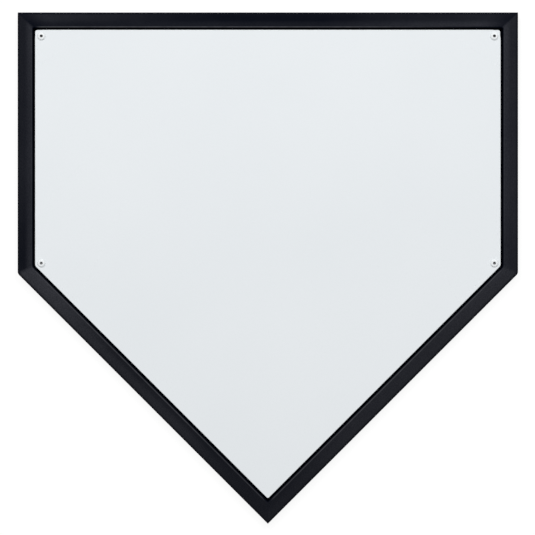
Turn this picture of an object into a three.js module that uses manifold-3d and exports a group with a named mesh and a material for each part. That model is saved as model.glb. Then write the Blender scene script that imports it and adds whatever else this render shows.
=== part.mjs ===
// Baseball home plate: a white rubber face slab set into a black bevelled rubber frame, on a plywood
// core with a waffle rubber base. A white button-head screw at every corner of the face but its tip goes
// through the slab and the frame's ledge into a tee nut in the core, and countersunk wood screws hold the
// base to the core from below.
//
// Millimetres, +Z up. The front edge of the plate faces +Y and its tip points to -Y. The origin is on
// the ground, at the middle of the plate's bounding box.

import * as THREE from "three";
import { mergeGeometries, mergeVertices } from "three/addons/utils/BufferGeometryUtils.js";
import Module from "manifold-3d";

const wasm = await Module();
wasm.setup();

// White face, in plan
const FACE_WIDTH = 431.8;
const SIDE_LENGTH = 218.9;
const TIP_ANGLE = 90;
const FACE_CORNER_RADIUS = 1.0;
const FACE_EDGE_ROUND = 0.5;

// Layers, from the ground up
const BASE_THICKNESS = 3.3;
const CORE_THICKNESS = 12.5;
const SLAB_THICKNESS = 9.0;
const BOND_LINE = 0.3;

// Frame around the slab
const GROOVE_WIDTH = 2.0;
const BEVEL_WIDTH = 15.6;
const BEVEL_CROWN = 0.4;
const SKIRT_HEIGHT = 10.0;
const SKIRT_FOOT_CHAMFER = 0.8;
const LIP_DROP = 0.8;
const LIP_LAND = 0.8;
const LIP_ROUND = 0.5;
const LEDGE_REACH = 14.0;
const LEDGE_THICKNESS = 3.0;
const CORE_OVERHANG = 4.0;
const FIT_GAP = 0.3;

// Button-head screws in the face
const SCREW_INSET = 5.9;
const SCREW_THREAD_DIAMETER = 4.0;
const SCREW_HEAD_DIAMETER = 7.6;
const SCREW_HEAD_HEIGHT = 2.2;
const SCREW_HEAD_RIM = 0.4;
const SCREW_HEAD_LAND = 3.6;
const SCREW_HEAD_SINK = 0.4;
const SCREW_END_COVER = 0.5;
const SCREW_END_CHAMFER = 0.4;
const SOCKET_ACROSS_FLATS = 2.5;
const SOCKET_DEPTH = 1.3;

// Tee nuts in the underside of the core
const NUT_FLANGE_DIAMETER = 14.0;
const NUT_FLANGE_THICKNESS = 1.0;
const NUT_BARREL_DIAMETER = 5.6;
const NUT_BARREL_LENGTH = 7.0;
const NUT_THREAD_GAP = 0.2;
const PRONG_COUNT = 4;
const PRONG_WIDTH = 2.2;
const PRONG_THICKNESS = 0.9;
const PRONG_LENGTH = 5.0;

// Countersunk wood screws that hold the base
const BASE_SCREWS_PER_SIDE = 2;
const BASE_SCREW_INSET = 14.0;
const BASE_SCREW_DIAMETER = 4.0;
const BASE_SCREW_HEAD_DIAMETER = 8.0;
const BASE_SCREW_HEAD_RECESS = 0.4;
const BASE_SCREW_POINT = 4.0;
const BASE_SCREW_TIP_COVER = 3.0;
const CROSS_SPAN = 4.4;
const CROSS_WIDTH = 1.1;
const CROSS_DEPTH = 1.7;

// Waffle pockets in the underside of the base
const POCKET_SIZE = 24.0;
const POCKET_RIB = 6.0;
const POCKET_WEB = 1.3;
const POCKET_DRAFT = 0.5;
const POCKET_LAND = 8.0;

// How finely round shapes are cut into flats
const HOLE_SIDES = 16;
const TURNED_SIDES = 20;
const ARC_STEPS = 3;
const HEXAGON_SIDES = 6;
const SQUARE_SIDES = 4;

// How far a cut runs past the face it starts from, and how close two vertices are before they are one
const CUT_OVERSHOOT = 1.0;
const MERGE_DISTANCE = 1e-4;

// Heights that follow from the layers
const coreLevel = BASE_THICKNESS + BOND_LINE;
const slabLevel = coreLevel + CORE_THICKNESS + BOND_LINE;
const faceLevel = slabLevel + SLAB_THICKNESS;
const ledgeTop = slabLevel + LEDGE_THICKNESS;
const lipTop = faceLevel - LIP_DROP;
const seatLevel = faceLevel - SCREW_HEAD_SINK;

// Plan of the plate
const borderWidth = GROOVE_WIDTH + BEVEL_WIDTH;
const halfTip = THREE.MathUtils.degToRad(TIP_ANGLE / 2);
const halfWidth = FACE_WIDTH / 2;
const tipLength = halfWidth / Math.tan(halfTip);
const faceLength = SIDE_LENGTH + tipLength;
const faceFront = (faceLength - borderWidth + borderWidth / Math.sin(halfTip)) / 2;
const faceRear = faceFront - SIDE_LENGTH;

// Corners of the white face, anticlockwise from above. Each side runs from its own corner to the next.
const CORNER_NAMES = ["front_right", "front_left", "rear_left", "tip", "rear_right"];
const SIDE_NAMES = ["front", "left", "rear_left", "rear_right", "right"];
const faceCorners = [
  new THREE.Vector2(halfWidth, faceFront),
  new THREE.Vector2(-halfWidth, faceFront),
  new THREE.Vector2(-halfWidth, faceRear),
  new THREE.Vector2(0, faceRear - tipLength),
  new THREE.Vector2(halfWidth, faceRear),
];

const sideNormals = faceCorners.map((corner, i) => {
  const along = faceCorners[(i + 1) % faceCorners.length].clone().sub(corner).normalize();
  return new THREE.Vector2(along.y, -along.x);
});

// How far each corner moves when both of its sides move out by one millimetre
const mitres = sideNormals.map((normal, i) => {
  const before = sideNormals.at(i - 1);
  return normal.clone().add(before).divideScalar(1 + normal.dot(before));
});

function offsetCorners(distance) {
  return faceCorners.map((corner, i) => corner.clone().addScaledVector(mitres[i], distance));
}

// The plate's outline, moved out by a distance, with sharp corners
function sharpOutline(distance) {
  return new THREE.Shape(offsetCorners(distance));
}

// The same outline with each corner rounded by an arc
function roundOutline(distance, radius) {
  const shape = new THREE.Shape();
  const corners = offsetCorners(distance);
  corners.forEach((corner, i) => {
    const back = corners.at(i - 1).clone().sub(corner).normalize();
    const ahead = corners[(i + 1) % corners.length].clone().sub(corner).normalize();
    const inward = back.clone().add(ahead).normalize();
    const centre = corner.clone().addScaledVector(inward, radius / Math.abs(inward.cross(ahead)));
    const from = sideNormals.at(i - 1).angle();
    const to = sideNormals[i].angle();
    shape.absarc(centre.x, centre.y, radius, from, to, false);
  });
  shape.closePath();
  return shape;
}

// True where a point lies inside the face's outline moved in by a margin
function insideFace(x, y, margin) {
  return faceCorners.every((corner, i) => {
    const reach = (x - corner.x) * sideNormals[i].x + (y - corner.y) * sideNormals[i].y;
    return reach <= -margin;
  });
}

// A closed solid from a geometry's positions, without the triangles that collapse to a line
function solidOf(geometry) {
  const bare = geometry.clone();
  bare.deleteAttribute("normal");
  bare.deleteAttribute("uv");
  const merged = mergeVertices(bare, MERGE_DISTANCE);
  const corners = merged.index.array;
  const triVerts = [];
  for (let i = 0; i < corners.length; i += 3) {
    const [a, b, c] = corners.slice(i, i + 3);
    if (a !== b && b !== c && c !== a) triVerts.push(a, b, c);
  }
  const vertProperties = merged.attributes.position.array;
  const mesh = new wasm.Mesh({ numProp: 3, vertProperties, triVerts: new Uint32Array(triVerts) });
  return new wasm.Manifold(mesh);
}

function geometryOf(solid) {
  const { vertProperties, triVerts } = solid.getMesh();
  const geometry = new THREE.BufferGeometry();
  geometry.setAttribute("position", new THREE.BufferAttribute(vertProperties, 3));
  geometry.setIndex(new THREE.BufferAttribute(triVerts, 1));
  const flat = geometry.toNonIndexed();
  flat.computeVertexNormals();
  return flat;
}

function cutAll(solid, tools) {
  return tools.reduce((left, tool) => left.subtract(solidOf(tool)), solid);
}

// A flat sheet standing on z = 0
function layer(outline, thickness) {
  return new THREE.ExtrudeGeometry(outline, { depth: thickness, bevelEnabled: false });
}

// A round bar standing on z = from
function bar(diameter, from, to, sides = HOLE_SIDES) {
  const radius = diameter / 2;
  const length = to - from;
  const geometry = new THREE.CylinderGeometry(radius, radius, length, sides);
  return geometry.rotateX(Math.PI / 2).translate(0, 0, from + length / 2);
}

// A block standing on z = from, centred on the z axis
function block(width, depth, from, to) {
  const height = to - from;
  return new THREE.BoxGeometry(width, depth, height).translate(0, 0, from + height / 2);
}

// A profile of radius against height, turned about the z axis
function turned(path) {
  return new THREE.LatheGeometry(path.getPoints(ARC_STEPS), TURNED_SIDES).rotateX(Math.PI / 2);
}

// Face screws and tee nuts stand at every corner but the tip, as far from one side as from the other
function facePositions() {
  const spots = offsetCorners(-SCREW_INSET).map(({ x, y }, i) => ({ name: CORNER_NAMES[i], x, y }));
  return spots.filter(({ name }) => name !== "tip");
}

// Wood screws are spread evenly along every side
function basePositions() {
  const corners = offsetCorners(CORE_OVERHANG - BASE_SCREW_INSET);
  return corners.flatMap((corner, side) => {
    const next = corners[(side + 1) % corners.length];
    return Array.from({ length: BASE_SCREWS_PER_SIDE }, (_, k) => {
      const spot = corner.clone().lerp(next, (k + 0.5) / BASE_SCREWS_PER_SIDE);
      return { name: `${SIDE_NAMES[side]}_${k + 1}`, x: spot.x, y: spot.y };
    });
  });
}

// One copy of a tool at each position
function atEach(positions, makeTool) {
  return positions.map(({ x, y }) => makeTool().translate(x, y, 0));
}

// White face slab, with a rebate under its rim that sits on the frame's ledge
function whiteSlab() {
  const rimBottom = LEDGE_THICKNESS + BOND_LINE;
  const rimThickness = SLAB_THICKNESS - rimBottom;
  const rim = new THREE.ExtrudeGeometry(roundOutline(-FACE_EDGE_ROUND, FACE_CORNER_RADIUS), {
    depth: rimThickness - 2 * FACE_EDGE_ROUND,
    bevelThickness: FACE_EDGE_ROUND,
    bevelSize: FACE_EDGE_ROUND,
    bevelSegments: ARC_STEPS,
    curveSegments: ARC_STEPS,
  });
  rim.translate(0, 0, rimBottom + FACE_EDGE_ROUND);
  const middle = layer(sharpOutline(-LEDGE_REACH - FIT_GAP), SLAB_THICKNESS - FACE_EDGE_ROUND);
  const seat = SLAB_THICKNESS - SCREW_HEAD_SINK;
  const top = SLAB_THICKNESS + CUT_OVERSHOOT;
  const shankHole = () => bar(SCREW_THREAD_DIAMETER + 2 * FIT_GAP, -CUT_OVERSHOOT, top);
  const headSeat = () => bar(SCREW_HEAD_DIAMETER + 2 * FIT_GAP, seat, top, TURNED_SIDES);
  const holes = [...atEach(facePositions(), shankHole), ...atEach(facePositions(), headSeat)];
  return cutAll(solidOf(rim).add(solidOf(middle)), holes);
}

// Section of the frame: distance out from the white face's edge against height
function frameSection() {
  const outer = borderWidth;
  const inner = CORE_OVERHANG + FIT_GAP;
  const lipInside = new THREE.Vector2(GROOVE_WIDTH + LIP_ROUND, lipTop - LIP_ROUND);
  const lipOutside = new THREE.Vector2(lipInside.x + LIP_LAND, lipInside.y);
  const skirtTop = new THREE.Vector2(outer, SKIRT_HEIGHT);
  const toSkirt = skirtTop.clone().sub(lipOutside);
  const bevelAngle = Math.atan2(toSkirt.y, toSkirt.x) + Math.acos(LIP_ROUND / toSkirt.length());
  const bevelNormal = new THREE.Vector2(Math.cos(bevelAngle), Math.sin(bevelAngle));
  const bevelTop = lipOutside.clone().addScaledVector(bevelNormal, LIP_ROUND);
  const crown = bevelTop.clone().lerp(skirtTop, 0.5).addScaledVector(bevelNormal, 2 * BEVEL_CROWN);
  const section = new THREE.Shape();
  section.moveTo(inner, 0);
  section.lineTo(outer - SKIRT_FOOT_CHAMFER, 0);
  section.lineTo(outer, SKIRT_FOOT_CHAMFER);
  section.lineTo(skirtTop.x, skirtTop.y);
  section.quadraticCurveTo(crown.x, crown.y, bevelTop.x, bevelTop.y);
  section.absarc(lipOutside.x, lipOutside.y, LIP_ROUND, bevelAngle, Math.PI / 2, false);
  section.absarc(lipInside.x, lipInside.y, LIP_ROUND, Math.PI / 2, Math.PI, false);
  section.lineTo(GROOVE_WIDTH, ledgeTop);
  section.lineTo(-LEDGE_REACH, ledgeTop);
  section.lineTo(-LEDGE_REACH, slabLevel);
  section.lineTo(inner, slabLevel);
  section.closePath();
  return section.getPoints(ARC_STEPS).slice(0, -1);
}

// A section carried round the plate, mitred at each corner
function mitredRing(section) {
  const positions = [];
  const triangles = [];
  const count = section.length;
  faceCorners.forEach((corner, i) => {
    const next = (i + 1) % faceCorners.length;
    section.forEach(({ x: out, y: height }, j) => {
      positions.push(corner.x + mitres[i].x * out, corner.y + mitres[i].y * out, height);
      const after = (j + 1) % count;
      const [a, b] = [i * count + j, next * count + j];
      const [c, d] = [next * count + after, i * count + after];
      triangles.push(a, b, c, a, c, d);
    });
  });
  const geometry = new THREE.BufferGeometry();
  geometry.setAttribute("position", new THREE.Float32BufferAttribute(positions, 3));
  geometry.setIndex(triangles);
  return geometry;
}

// Black bevelled frame, drilled through its ledge for the face screws
function bevelFrame() {
  const shankHole = () =>
    bar(SCREW_THREAD_DIAMETER + 2 * FIT_GAP, slabLevel - CUT_OVERSHOOT, ledgeTop + CUT_OVERSHOOT);
  return cutAll(solidOf(mitredRing(frameSection())), atEach(facePositions(), shankHole));
}

// Prongs at the edge of a tee nut's flange, which bite the wood. A gap makes them the slots' shape.
function prongs(gap) {
  const radius = NUT_FLANGE_DIAMETER / 2 - PRONG_THICKNESS / 2;
  return Array.from({ length: PRONG_COUNT }, (_, k) => {
    const prong = block(PRONG_THICKNESS + 2 * gap, PRONG_WIDTH + 2 * gap, 0, PRONG_LENGTH + gap);
    return prong.translate(radius, 0, 0).rotateZ((2 * Math.PI * k) / PRONG_COUNT);
  });
}

// Tee nut, standing on its flange
function teeNut() {
  const bore = SCREW_THREAD_DIAMETER / 2 + NUT_THREAD_GAP;
  const ring = new THREE.Path();
  ring.moveTo(bore, 0);
  ring.lineTo(NUT_FLANGE_DIAMETER / 2, 0);
  ring.lineTo(NUT_FLANGE_DIAMETER / 2, NUT_FLANGE_THICKNESS);
  ring.lineTo(NUT_BARREL_DIAMETER / 2, NUT_FLANGE_THICKNESS);
  ring.lineTo(NUT_BARREL_DIAMETER / 2, NUT_BARREL_LENGTH);
  ring.lineTo(bore, NUT_BARREL_LENGTH);
  ring.lineTo(bore, 0);
  return prongs(0).reduce((nut, prong) => nut.add(solidOf(prong)), solidOf(turned(ring)));
}

// What the core is bored out to for one tee nut and its screw
function nutPockets() {
  const below = -CUT_OVERSHOOT;
  return [
    bar(NUT_FLANGE_DIAMETER + 2 * FIT_GAP, below, NUT_FLANGE_THICKNESS + FIT_GAP, TURNED_SIDES),
    bar(NUT_BARREL_DIAMETER + 2 * FIT_GAP, below, NUT_BARREL_LENGTH + FIT_GAP),
    bar(SCREW_THREAD_DIAMETER + 2 * FIT_GAP, below, CORE_THICKNESS + CUT_OVERSHOOT),
    ...prongs(FIT_GAP),
  ];
}

// Countersunk wood screw, head down at z = 0, with its point up in the core. Grown by a gap and carried on
// below the head, it is the hole's shape.
function woodScrewBlank(gap, below) {
  const shank = BASE_SCREW_DIAMETER / 2 + gap;
  const head = BASE_SCREW_HEAD_DIAMETER / 2 + gap;
  const top = coreLevel + CORE_THICKNESS - BASE_SCREW_TIP_COVER - BASE_SCREW_HEAD_RECESS + gap;
  const path = new THREE.Path();
  path.moveTo(0, -below);
  path.lineTo(head, -below);
  path.lineTo(head, 0);
  path.lineTo(shank, head - shank);
  path.lineTo(shank, top - BASE_SCREW_POINT);
  path.lineTo(0, top);
  return turned(path);
}

// The screw itself, with a cross recess in its head
function woodScrew() {
  const cross = [
    block(CROSS_SPAN, CROSS_WIDTH, -CUT_OVERSHOOT, CROSS_DEPTH),
    block(CROSS_WIDTH, CROSS_SPAN, -CUT_OVERSHOOT, CROSS_DEPTH),
  ];
  return cutAll(solidOf(woodScrewBlank(0, 0)), cross);
}

// Holes for the wood screws, in a layer whose underside is at a given height
function woodScrewHoles(level) {
  const below = BASE_SCREW_HEAD_RECESS + CUT_OVERSHOOT;
  const hole = () => woodScrewBlank(FIT_GAP, below).translate(0, 0, BASE_SCREW_HEAD_RECESS - level);
  return atEach(basePositions(), hole);
}

// Plywood core, bored from below for the tee nuts and the wood screws
function coreBoard() {
  const board = solidOf(layer(sharpOutline(CORE_OVERHANG), CORE_THICKNESS));
  const pockets = facePositions().flatMap(({ x, y }) => nutPockets().map((cut) => cut.translate(x, y, 0)));
  return cutAll(board, [...pockets, ...woodScrewHoles(coreLevel)]);
}

// Square pocket in the underside of the base, narrower at its floor
function pocket() {
  const depth = BASE_THICKNESS - POCKET_WEB;
  const mouth = (POCKET_SIZE / 2) * Math.SQRT2;
  const floor = mouth - POCKET_DRAFT * Math.SQRT2;
  const square = new THREE.CylinderGeometry(floor, mouth, depth, SQUARE_SIDES).rotateY(Math.PI / 4);
  return square.rotateX(Math.PI / 2).translate(0, 0, depth / 2);
}

// Pocket centres on a square grid, wherever a whole pocket fits inside the band that holds the screws
function pocketCentres() {
  const pitch = POCKET_SIZE + POCKET_RIB;
  const band = BASE_SCREW_INSET + BASE_SCREW_HEAD_DIAMETER / 2 + POCKET_LAND;
  const margin = band - CORE_OVERHANG;
  const half = POCKET_SIZE / 2;
  const columns = Math.floor(halfWidth / pitch);
  const rows = Math.floor(faceLength / pitch);
  const centres = [];
  for (let row = 0; row < rows; row++) {
    for (let column = -columns; column <= columns; column++) {
      const x = column * pitch;
      const y = faceFront - margin - half - row * pitch;
      const rearCornersFit = [-half, half].every((dx) => insideFace(x + dx, y - half, margin));
      if (rearCornersFit) centres.push({ x, y });
    }
  }
  return centres;
}

// Black rubber base, waffled below to grip the ground
function waffleBase() {
  const sheet = solidOf(layer(sharpOutline(CORE_OVERHANG), BASE_THICKNESS));
  const waffle = mergeGeometries(atEach(pocketCentres(), pocket));
  return cutAll(sheet, [waffle, ...woodScrewHoles(0)]);
}

// White button-head screw, seated at z = 0, with a hexagon socket
function faceScrew() {
  const radius = SCREW_THREAD_DIAMETER / 2;
  const head = SCREW_HEAD_DIAMETER / 2;
  const land = SCREW_HEAD_LAND / 2;
  const end = coreLevel + SCREW_END_COVER - seatLevel;
  const path = new THREE.Path();
  path.moveTo(0, end);
  path.lineTo(radius - SCREW_END_CHAMFER, end);
  path.lineTo(radius, end + SCREW_END_CHAMFER);
  path.lineTo(radius, 0);
  path.lineTo(head, 0);
  path.lineTo(head, SCREW_HEAD_RIM);
  path.quadraticCurveTo((head + land) / 2, SCREW_HEAD_HEIGHT, land, SCREW_HEAD_HEIGHT);
  path.lineTo(0, SCREW_HEAD_HEIGHT);
  const acrossCorners = SOCKET_ACROSS_FLATS / Math.cos(Math.PI / HEXAGON_SIDES);
  const socketFloor = SCREW_HEAD_HEIGHT - SOCKET_DEPTH;
  const socket = bar(acrossCorners, socketFloor, SCREW_HEAD_HEIGHT + CUT_OVERSHOOT, HEXAGON_SIDES);
  return cutAll(solidOf(turned(path)), [socket]);
}

// Finishes

const whiteRubber = { color: "#e6ebee", roughness: 0.6, metalness: 0 };
const blackRubber = { color: "#202228", roughness: 0.55, metalness: 0 };
const plywood = { color: "#c39a66", roughness: 0.8, metalness: 0 };
const whitePaint = { color: "#eef1f3", roughness: 0.4, metalness: 0 };
const zincSteel = { color: "#a9acae", roughness: 0.35, metalness: 1 };

// The assembled plate

const plate = new THREE.Group();

function place(name, geometry, finish, x, y, z) {
  const mesh = new THREE.Mesh(geometry, new THREE.MeshStandardMaterial(finish));
  mesh.name = name;
  mesh.position.set(x, y, z);
  plate.add(mesh);
}

place("waffle_base", geometryOf(waffleBase()), blackRubber, 0, 0, 0);
place("core_board", geometryOf(coreBoard()), plywood, 0, 0, coreLevel);
place("bevel_frame", geometryOf(bevelFrame()), blackRubber, 0, 0, 0);
place("white_slab", geometryOf(whiteSlab()), whiteRubber, 0, 0, slabLevel);

const faceScrewShape = geometryOf(faceScrew());
const teeNutShape = geometryOf(teeNut());
for (const { name, x, y } of facePositions()) {
  place(`face_screw_${name}`, faceScrewShape, whitePaint, x, y, seatLevel);
  place(`tee_nut_${name}`, teeNutShape, zincSteel, x, y, coreLevel);
}

const woodScrewShape = geometryOf(woodScrew());
for (const { name, x, y } of basePositions()) {
  place(`base_screw_${name}`, woodScrewShape, zincSteel, x, y, BASE_SCREW_HEAD_RECESS);
}

export default plate;
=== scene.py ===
"""Looks of a baseball home plate: a white rubber slab in a black bevelled rubber frame, held by four
white button-head screws, on a plywood core and a waffle rubber base. The camera looks straight down
on it."""

import math

import bmesh
import bpy
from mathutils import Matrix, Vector
from mathutils.geometry import delaunay_2d_cdt


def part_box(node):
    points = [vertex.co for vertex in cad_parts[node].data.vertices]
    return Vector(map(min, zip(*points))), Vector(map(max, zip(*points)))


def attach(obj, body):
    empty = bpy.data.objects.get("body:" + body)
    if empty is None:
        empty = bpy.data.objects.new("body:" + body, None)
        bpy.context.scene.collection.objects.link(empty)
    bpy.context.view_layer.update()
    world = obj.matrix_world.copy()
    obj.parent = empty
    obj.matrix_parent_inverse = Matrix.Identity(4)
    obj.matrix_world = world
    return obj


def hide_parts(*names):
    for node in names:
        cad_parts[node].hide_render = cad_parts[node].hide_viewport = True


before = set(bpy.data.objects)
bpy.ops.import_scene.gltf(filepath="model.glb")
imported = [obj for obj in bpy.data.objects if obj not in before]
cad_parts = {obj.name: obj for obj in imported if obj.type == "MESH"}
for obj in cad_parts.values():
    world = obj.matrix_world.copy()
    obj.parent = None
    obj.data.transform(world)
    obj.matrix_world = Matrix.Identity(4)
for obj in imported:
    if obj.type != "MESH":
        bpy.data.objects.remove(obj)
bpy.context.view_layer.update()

MM = 0.001
BODY = "root"

# White slab
SLAB_EDGE_ROUND = 0.5 * MM
SLAB_CORNERS = {"front": 1.9 * MM, "rear": 4.0 * MM, "tip": 1.5 * MM}
RIM_FADE = 0.4 * MM
REBATE_CORNER_RADIUS = 0.3 * MM
# The rim's wall is painted near-black from this depth below the face on, as the shade down in the groove
GROOVE_SHADE_TOP = 0.6 * MM
GROOVE_SHADE_FULL = 1.3 * MM

# How far each screw draws its corner of the slab in, and how it dishes the rubber round its head
DRAW_IN = {
    "front_left": Vector((0.1, -0.2)) * MM,
    "front_right": Vector((-0.45, -0.2)) * MM,
    "rear_left": Vector((0.0, 0.0)),
    "rear_right": Vector((0.0, 0.0)),
}
DRAW_FULL = 5.4 * MM
DRAW_END = 7.6 * MM
DRAW_CLEAR_OF_HEAD = 5.4 * MM
DISH_DEPTH = 0.12 * MM
DISH_END = 9.5 * MM
DISH_RINGS = 6
DISH_POINTS = 40

# Frame section, measured out from the slab's edge
GROOVE_WIDTH = 2.0 * MM
GROOVE_FILLET = 0.5 * MM
LIP_DROP = 0.8 * MM
LIP_LAND = 0.8 * MM
LIP_ROUND = 0.5 * MM
HIGHLIGHT_FADE = 0.5 * MM
BEVEL_CROWN = 0.4 * MM
BEVEL_STEPS = 12
SKIRT_HEIGHT = 10.0 * MM
SKIRT_EDGE_ROUND = 0.7 * MM
SKIRT_FOOT_ROUND = 0.8 * MM
# How strongly the lip's land carries the painted highlight, and how worn the skirt's edges are
LAND_START_HIGHLIGHT = 0.6
LAND_END_HIGHLIGHT = 0.5
SKIRT_EDGE_WEAR = 0.1
SKIRT_FOOT_WEAR = 0.3
LEDGE_REACH = 14.0 * MM
LEDGE_THICKNESS = 3.0 * MM
BOND_LINE = 0.3 * MM
FIT_GAP = 0.3 * MM
GROOVE_CORNERS = {"front": 2.0 * MM, "rear": 4.5 * MM, "tip": 0.6 * MM}
OUTER_CORNERS = {"front": 0.4 * MM, "rear": 5.0 * MM, "tip": 0.4 * MM}
INNER_CORNER_RADIUS = 0.4 * MM

# The frame's sides, anticlockwise from the front. How much dust and painted light each has, from 0 to 1,
# at its start, its middle and its end: first beside the lip, then further out. Higher is paler, and the
# levels also paint each side lighter or darker by how light falls on it. How strong the painted highlight
# along its lip, drawn as rubbing, is at the same three places, and on which of its edges.
DUST_AND_SHADE_BESIDE_LIP = {
    "front": (0.35, 0.1, 0.1),
    "left": (0.4, 0.3, 0.3),
    "rear_left": (0.7, 0.2, 0.15),
    "rear_right": (0.15, 0.35, 0.5),
    "right": (0.25, 0.35, 0.5),
}
DUST_AND_SHADE_FURTHER_OUT = {
    "front": (0.15, 0.0, 0.2),
    "left": (0.15, 0.15, 0.05),
    "rear_left": (0.65, 0.35, 0.15),
    "rear_right": (0.2, 0.35, 0.45),
    "right": (0.2, 0.25, 0.25),
}
# The lip's pale line is a painted highlight, drawn as rubbing
LIP_HIGHLIGHT_AND_RUB = {
    "front": (0.05, 1.0, 1.0),
    "left": (0.2, 0.2, 0.1),
    "rear_left": (0.5, 0.8, 0.55),
    "rear_right": (0.65, 0.8, 0.7),
    "right": (0.1, 0.2, 0.1),
}
HIGHLIGHTED_EDGE = {
    "front": "inner",
    "left": "outer",
    "rear_left": "outer",
    "rear_right": "outer",
    "right": "outer",
}

# A level holds up to one share of its side's length, and has turned into the middle's at another
LEVEL_HELD = 0.03
LEVEL_CHANGED = 0.38

# Where the painted lip highlight stops short of the corners, where the front is painted darker towards
# its mitres as shade, how far out from the slab's edge the dust and painted light change, and where the
# painted shade of the outer edge starts and ends
# How far from the lip's corners the painted highlight starts and is full
HIGHLIGHT_CORNER_START = 2.0 * MM
HIGHLIGHT_CORNER_END = 8.0 * MM
# The front is painted darker towards its mitres, as shade
MITRE_SHADE_REACH = {"front": 24.0 * MM}
MITRE_SHADE_LEVEL = 0.2
DUST_AND_SHADE_FADE_START = 5.0 * MM
DUST_AND_SHADE_FADE_END = 11.0 * MM
# The frame is painted darker towards its outer edge, as shade
EDGE_SHADE_START = 14.5 * MM
EDGE_SHADE_END = 17.0 * MM
SKIRT_DUST = 0.17

# Button-head screws in the face
SCREW_THREAD_DIAMETER = 4.0 * MM
SCREW_THREAD_PITCH = 0.7 * MM
SCREW_THREAD_DEPTH = 0.4 * MM
SCREW_HEAD_DIAMETER = 7.6 * MM
SCREW_HEAD_RIM = 0.4 * MM
SCREW_HEAD_LAND = 4.8 * MM
SCREW_HEAD_SINK = 0.4 * MM
SCREW_END_CHAMFER = 0.4 * MM
SCREW_SQUEEZE_GAP = 0.05 * MM
SOCKET_ACROSS_FLATS = 2.5 * MM
SOCKET_DEPTH = 1.3 * MM
SOCKET_CHAMFER = 0.12 * MM
SOCKET_DRILL_TIP = 0.4 * MM
# How far each socket is painted near-black, as bare metal and as the shade deep inside it
SOCKET_BARE_AND_SHADE = {"front_left": 1.0, "front_right": 1.0, "rear_left": 0.8, "rear_right": 0.85}

# Countersunk wood screws under the base
WOOD_SCREW_DIAMETER = 4.0 * MM
WOOD_SCREW_THREAD_PITCH = 1.6 * MM
WOOD_SCREW_THREAD_DEPTH = 0.6 * MM
WOOD_SCREW_HEAD_DIAMETER = 8.0 * MM
WOOD_SCREW_HEAD_EDGE = 0.25 * MM
WOOD_SCREW_POINT = 4.0 * MM
CROSS_SPAN = 4.4 * MM
CROSS_WIDTH = 1.1 * MM
CROSS_DEPTH = 1.7 * MM
CROSS_TAPER = 0.35

# Waffle base
BASE_EDGE_ROUND = 0.4 * MM
BASE_CORNER_RADIUS = 0.6 * MM
BASE_SCREW_INSET = 14.0 * MM
BASE_DUST = 0.17
POCKET_SIZE = 24.0 * MM
POCKET_RIB = 6.0 * MM
POCKET_WEB = 1.3 * MM
POCKET_DRAFT = 0.5 * MM
POCKET_LAND = 8.0 * MM
POCKET_CORNER_RADIUS = 2.0 * MM
POCKET_MOUTH_ROUND = 0.4 * MM
POCKET_FLOOR_FILLET = 0.5 * MM

# How finely round shapes are cut, and how meshes are put together
CORNER_STEPS = 6
ARC_STEPS = 6
POCKET_STEPS = 4
DOME_STEPS = 10
NEAR_STEP = 1.2 * MM
NEAR_COUNT = 20
MIDDLE_COUNT = 12
HOLE_POINTS = 40
TURNED_POINTS = 72
STEPS_PER_PITCH = 6
SHARP_ANGLE = math.radians(38)
MERGE_DISTANCE = 1e-7
FILL_INSIDE_ONLY = 1
POINTS_PER_SIDE = CORNER_STEPS + 1 + 2 * NEAR_COUNT + MIDDLE_COUNT

# Sizes and places that come from the frame
slab_low, slab_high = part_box("white_slab")
frame_low, frame_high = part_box("bevel_frame")
core_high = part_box("core_board")[1]
base_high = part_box("waffle_base")[1]
BORDER = frame_high.x - slab_high.x
HALF_WIDTH = slab_high.x
FACE_FRONT = slab_high.y
FACE_TIP = frame_low.y + BORDER * math.sqrt(2)
FACE_REAR = FACE_TIP + HALF_WIDTH
FACE_TOP = slab_high.z
LEDGE_TOP = slab_low.z + LEDGE_THICKNESS
LIP_TOP = FACE_TOP - LIP_DROP
SEAT_LEVEL = FACE_TOP - SCREW_HEAD_SINK
CORE_OVERHANG = core_high.x - HALF_WIDTH

CORNERS = [
    Vector((HALF_WIDTH, FACE_FRONT)),
    Vector((-HALF_WIDTH, FACE_FRONT)),
    Vector((-HALF_WIDTH, FACE_REAR)),
    Vector((0, FACE_TIP)),
    Vector((HALF_WIDTH, FACE_REAR)),
]
CORNER_KINDS = ("front", "front", "rear", "tip", "rear")


def outward(i):
    """The direction that side i faces, from its own corner to the next, anticlockwise."""
    along = (CORNERS[(i + 1) % len(CORNERS)] - CORNERS[i]).normalized()
    return Vector((along.y, -along.x))


NORMALS = [outward(i) for i in range(len(CORNERS))]
MITRES = [(n + NORMALS[i - 1]) / (1 + n.dot(NORMALS[i - 1])) for i, n in enumerate(NORMALS)]


def middle_of(node):
    """A node's centre in plan."""
    low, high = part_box(node)
    return ((low + high) / 2).xy


FACE_SCREWS = {name: middle_of("face_screw_" + name) for name in DRAW_IN}
WOOD_SCREWS = sorted(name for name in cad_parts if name.startswith("base_screw_"))


def lerp(a, b, share):
    return a + (b - a) * share


def smooth_step(start, end, value):
    """0 before start, 1 after end, and an S curve between them."""
    share = min(1.0, max(0.0, (value - start) / (end - start)))
    return share * share * (3 - 2 * share)


def arc(centre, radius, start, end, steps=ARC_STEPS):
    """Points on an arc, with its angles in degrees."""
    angles = [math.radians(lerp(start, end, k / steps)) for k in range(steps + 1)]
    return [(centre[0] + radius * math.cos(a), centre[1] + radius * math.sin(a)) for a in angles]


def circle(centre, radius, count=HOLE_POINTS):
    angles = [2 * math.pi * k / count for k in range(count)]
    return [Vector((centre.x + radius * math.cos(a), centre.y + radius * math.sin(a))) for a in angles]


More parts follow.
